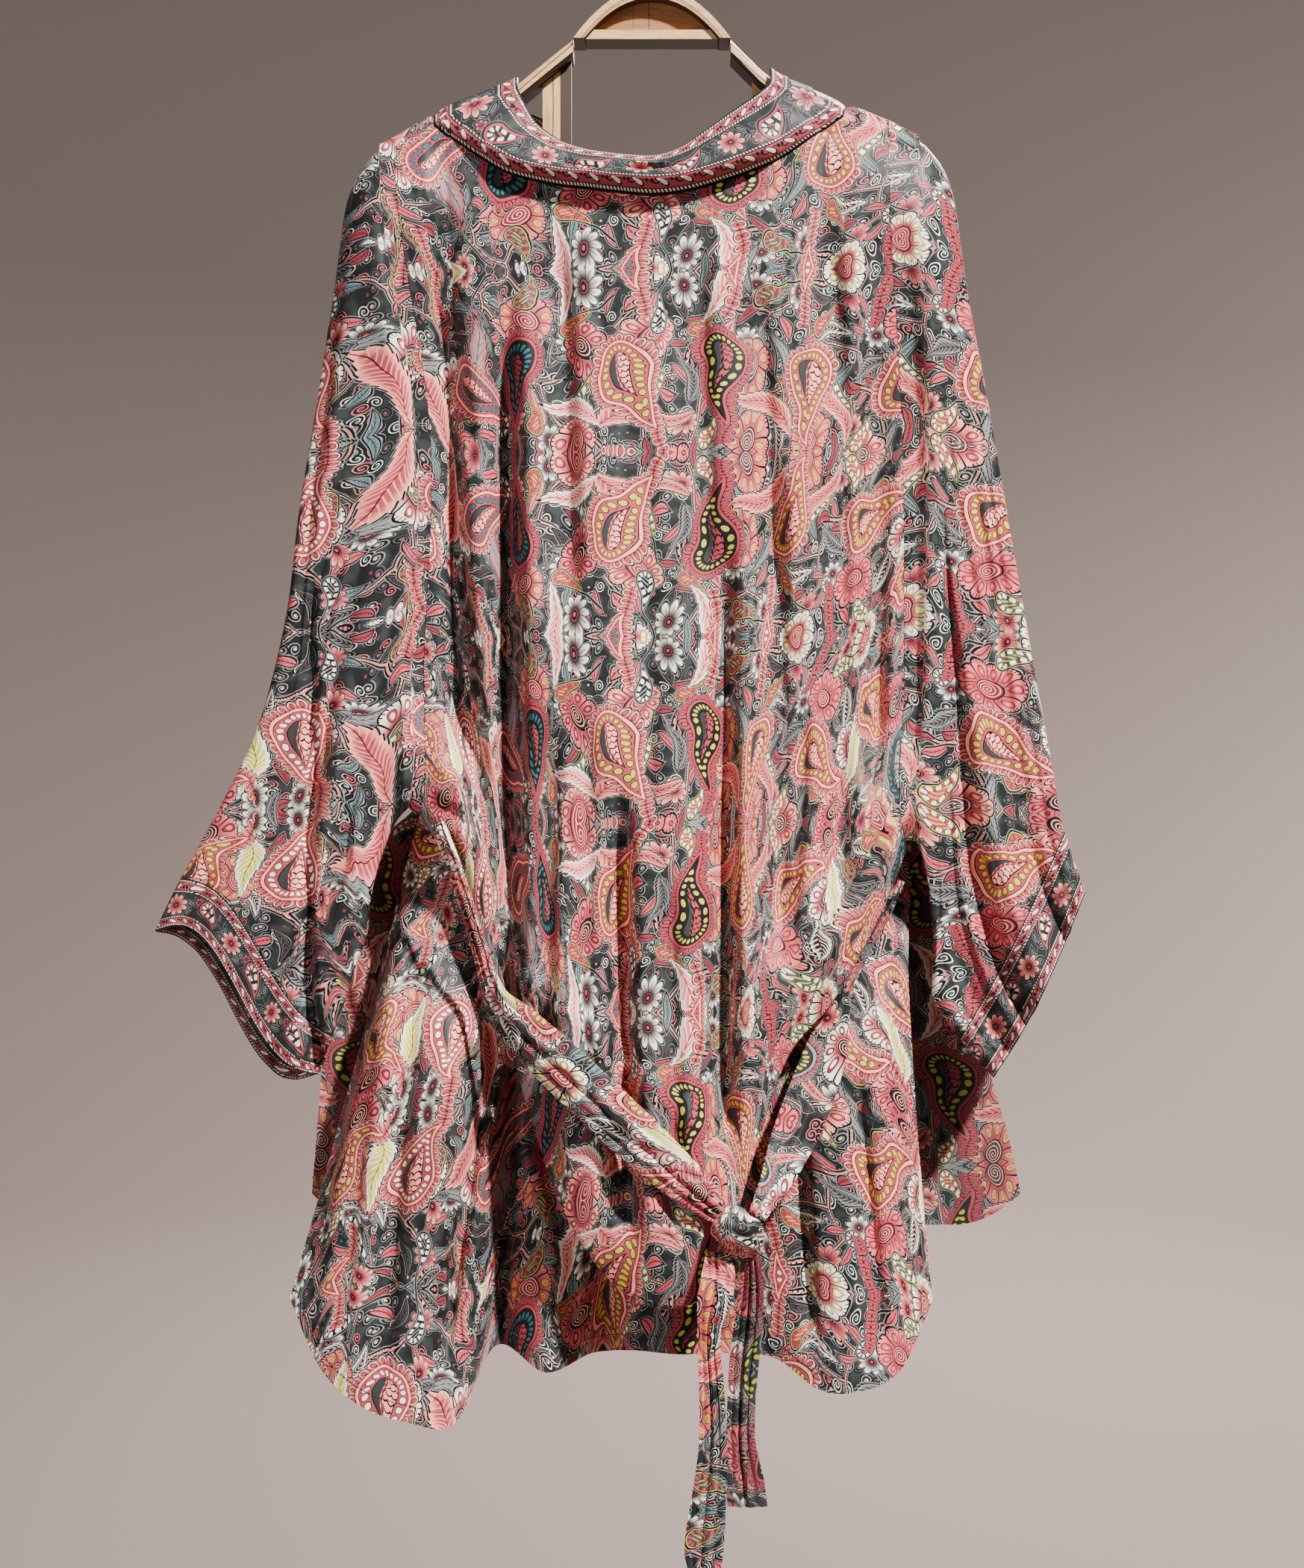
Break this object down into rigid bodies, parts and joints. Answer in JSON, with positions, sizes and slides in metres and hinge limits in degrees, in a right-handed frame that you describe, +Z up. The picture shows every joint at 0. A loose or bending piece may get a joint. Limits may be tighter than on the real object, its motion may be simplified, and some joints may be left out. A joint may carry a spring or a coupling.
{
  "type": "kimono on a wooden hanger",
  "caption": "Short satin kimono robe with wide sleeves, neck band and cuffs, tied low at the back, held by an arched wooden hanger.",
  "frame": {"origin": "point where the hanger's hook bears on its rail", "axes": "+Z up, +X to the right as seen from behind the wearer, +Y from the robe's back to its open front"},
  "size_m": [0.7191, 0.1595, 1.2519],
  "materials": {
    "printed_satin": "printed satin with a soft sheen",
    "border_satin": "dark printed satin",
    "pale_wood": "satin varnish",
    "tan_wood": "satin varnish",
    "steel": "polished wire"
  },
  "bodies": {
    "root": {"back_panel": "printed_satin", "front_left": "printed_satin", "front_right": "printed_satin", "sleeve_left": "printed_satin", "sleeve_right": "printed_satin", "tie_left": "printed_satin", "tie_right": "printed_satin", "knot": "printed_satin", "tail_left": "printed_satin", "tail_right": "printed_satin", "neck_band": "border_satin", "cuff_left": "border_satin", "cuff_right": "border_satin", "hook": "steel", "arch_rim": "pale_wood", "lunette": "tan_wood", "crossbar": "pale_wood", "arm_left": "pale_wood", "arm_right": "pale_wood", "brace_left": "pale_wood", "brace_right": "pale_wood"}
  },
  "joints": []
}
